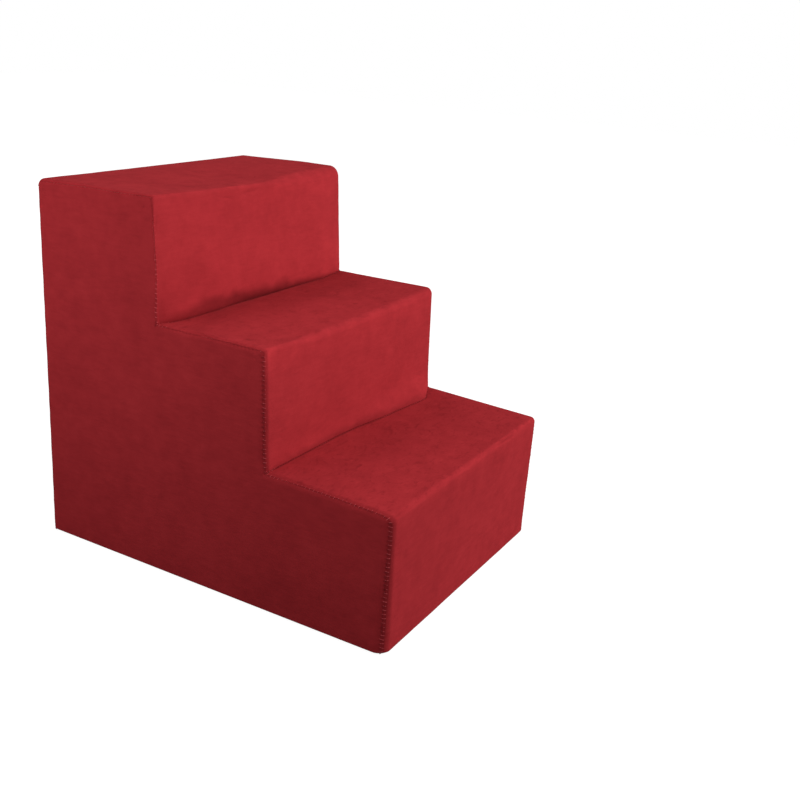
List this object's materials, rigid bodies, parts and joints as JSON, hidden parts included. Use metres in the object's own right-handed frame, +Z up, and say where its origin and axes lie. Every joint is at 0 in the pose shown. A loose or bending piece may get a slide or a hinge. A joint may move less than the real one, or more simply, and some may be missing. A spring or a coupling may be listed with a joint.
{
  "type": "pet stairs",
  "caption": "Foam pet stairs in a sewn, zipped crimson microsuede cover with rolled nosings, overlocked side seams and a non-slip base.",
  "frame": {"origin": "on the floor, under the middle of the base, at the foot of the middle grip dot", "axes": "+Z up; the steps face -Y and climb towards +Y, so the zipped back faces +Y; +X to the right of one who climbs"},
  "size_m": [0.3308, 0.4454, 0.4],
  "materials": {
    "foam": "matte",
    "cover_cloth": "matte",
    "base_cloth": "matte",
    "thread": "satin",
    "zip_tape": "matte",
    "zip_coil": "satin",
    "zip_metal": "satin"
  },
  "bodies": {
    "stairs": {"foam_bottom_slab": "foam", "foam_middle_slab": "foam", "foam_top_slab": "foam", "left_side_panel": "cover_cloth", "right_side_panel": "cover_cloth", "bottom_step_panel": "cover_cloth", "middle_step_panel": "cover_cloth", "top_step_panel": "cover_cloth", "back_upper_panel": "cover_cloth", "back_lower_panel": "cover_cloth", "zip_end_tabs": "cover_cloth", "non_slip_base": "base_cloth", "left_side_thread": "thread", "right_side_thread": "thread", "lower_crease_thread": "thread", "upper_crease_thread": "thread", "rear_top_thread": "thread", "zip_upper_thread": "thread", "zip_lower_thread": "thread", "base_thread": "thread", "zip_upper_tape": "zip_tape", "zip_lower_tape": "zip_tape", "zip_upper_coil": "zip_coil", "zip_lower_coil": "zip_coil", "zip_top_stops": "zip_metal", "zip_bottom_stop": "zip_metal"},
    "slider": {"zip_slider": "zip_metal"},
    "pull": {"zip_pull": "zip_metal"}
  },
  "joints": [
    {"name": "zip_slide", "type": "slide", "parent": "stairs", "child": "slider", "axis": [1, 0, 0], "range_m": [0, 0.2836]},
    {"name": "pull_swing", "type": "hinge", "parent": "slider", "child": "pull", "pos_m": [-0.1418, 0.22328, 0.046], "axis": [0, 0, 1], "range_deg": [0, 170]}
  ]
}
